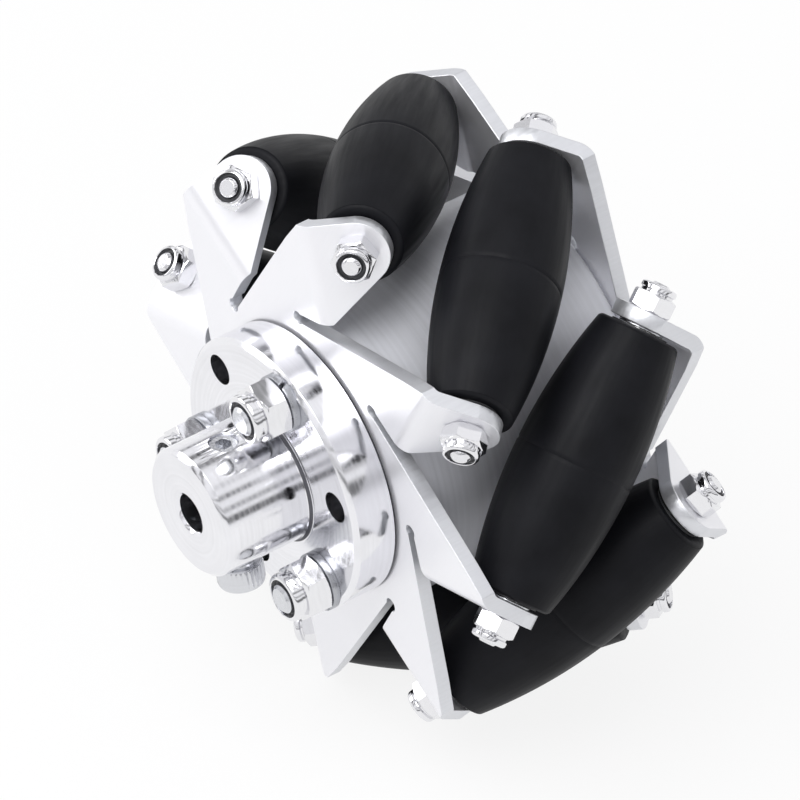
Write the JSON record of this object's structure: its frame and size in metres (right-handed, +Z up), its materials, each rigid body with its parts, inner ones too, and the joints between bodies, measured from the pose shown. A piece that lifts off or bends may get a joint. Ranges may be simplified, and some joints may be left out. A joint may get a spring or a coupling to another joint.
{
  "type": "mecanum wheel",
  "caption": "Mecanum wheel: skewed rubber barrel rollers between two bent sheet plates over a turned drum, with a flanged shaft coupling, for robot bases that drive in any direction.",
  "frame": {"origin": "mouth of the shaft bore, at the centre of the coupling boss's end face", "axes": "-Y along the wheel's axis, out of the coupling's bore towards the motor; +Z up, +X to the right seen from the coupling side"},
  "size_m": [0.06, 0.0476, 0.06],
  "materials": {
    "plate_sheet": "bright satin sheet, lightly brushed",
    "drum_metal": "turned, bright, with fine lathe lines",
    "hub_metal": "turned and polished",
    "zinc_steel": "bright zinc plate",
    "spring_steel": "zinc-plated spring steel",
    "bright_nut": "bright nickel plate",
    "axle_steel": "ground steel pin",
    "core_nylon": "black nylon tube",
    "bush_bronze": "plain bronze bush",
    "roller_rubber": "moulded black rubber, satin"
  },
  "bodies": {
    "wheel": {"front_plate": "plate_sheet", "rear_plate": "plate_sheet", "centre_drum": "drum_metal", "hub_coupling": "hub_metal", "set_screw_1": "zinc_steel", "set_screw_2": "zinc_steel", "flange_bolts": "zinc_steel", "rear_washers": "zinc_steel", "spring_washers": "spring_steel", "flange_nuts": "bright_nut", "axle_nuts": "bright_nut", "thrust_washers": "zinc_steel", "axle_1": "axle_steel", "axle_2": "axle_steel", "axle_3": "axle_steel", "axle_4": "axle_steel", "axle_5": "axle_steel", "axle_6": "axle_steel", "axle_7": "axle_steel", "axle_8": "axle_steel"},
    "roller_1": {"roller_rubber_1": "roller_rubber", "roller_core_1": "core_nylon", "roller_bushes_1": "bush_bronze"},
    "roller_2": {"roller_rubber_2": "roller_rubber", "roller_core_2": "core_nylon", "roller_bushes_2": "bush_bronze"},
    "roller_3": {"roller_rubber_3": "roller_rubber", "roller_core_3": "core_nylon", "roller_bushes_3": "bush_bronze"},
    "roller_4": {"roller_rubber_4": "roller_rubber", "roller_core_4": "core_nylon", "roller_bushes_4": "bush_bronze"},
    "roller_5": {"roller_rubber_5": "roller_rubber", "roller_core_5": "core_nylon", "roller_bushes_5": "bush_bronze"},
    "roller_6": {"roller_rubber_6": "roller_rubber", "roller_core_6": "core_nylon", "roller_bushes_6": "bush_bronze"},
    "roller_7": {"roller_rubber_7": "roller_rubber", "roller_core_7": "core_nylon", "roller_bushes_7": "bush_bronze"},
    "roller_8": {"roller_rubber_8": "roller_rubber", "roller_core_8": "core_nylon", "roller_bushes_8": "bush_bronze"}
  },
  "joints": [
    {"name": "roller_spin_1", "type": "hinge", "parent": "wheel", "child": "roller_1", "pos_m": [0.02265, 0.0293, 0.00793], "axis": [0.2337, -0.7071, -0.6674], "continuous": true},
    {"name": "roller_spin_2", "type": "hinge", "parent": "wheel", "child": "roller_2", "pos_m": [0.01041, 0.0293, 0.02163], "axis": [0.6372, -0.7071, -0.3066], "continuous": true},
    {"name": "roller_spin_3", "type": "hinge", "parent": "wheel", "child": "roller_3", "pos_m": [-0.00793, 0.0293, 0.02265], "axis": [0.6674, -0.7071, 0.2337], "continuous": true},
    {"name": "roller_spin_4", "type": "hinge", "parent": "wheel", "child": "roller_4", "pos_m": [-0.02163, 0.0293, 0.01041], "axis": [0.3066, -0.7071, 0.6372], "continuous": true},
    {"name": "roller_spin_5", "type": "hinge", "parent": "wheel", "child": "roller_5", "pos_m": [-0.02265, 0.0293, -0.00793], "axis": [-0.2337, -0.7071, 0.6674], "continuous": true},
    {"name": "roller_spin_6", "type": "hinge", "parent": "wheel", "child": "roller_6", "pos_m": [-0.01041, 0.0293, -0.02163], "axis": [-0.6372, -0.7071, 0.3066], "continuous": true},
    {"name": "roller_spin_7", "type": "hinge", "parent": "wheel", "child": "roller_7", "pos_m": [0.00793, 0.0293, -0.02265], "axis": [-0.6674, -0.7071, -0.2337], "continuous": true},
    {"name": "roller_spin_8", "type": "hinge", "parent": "wheel", "child": "roller_8", "pos_m": [0.02163, 0.0293, -0.01041], "axis": [-0.3066, -0.7071, -0.6372], "continuous": true}
  ]
}
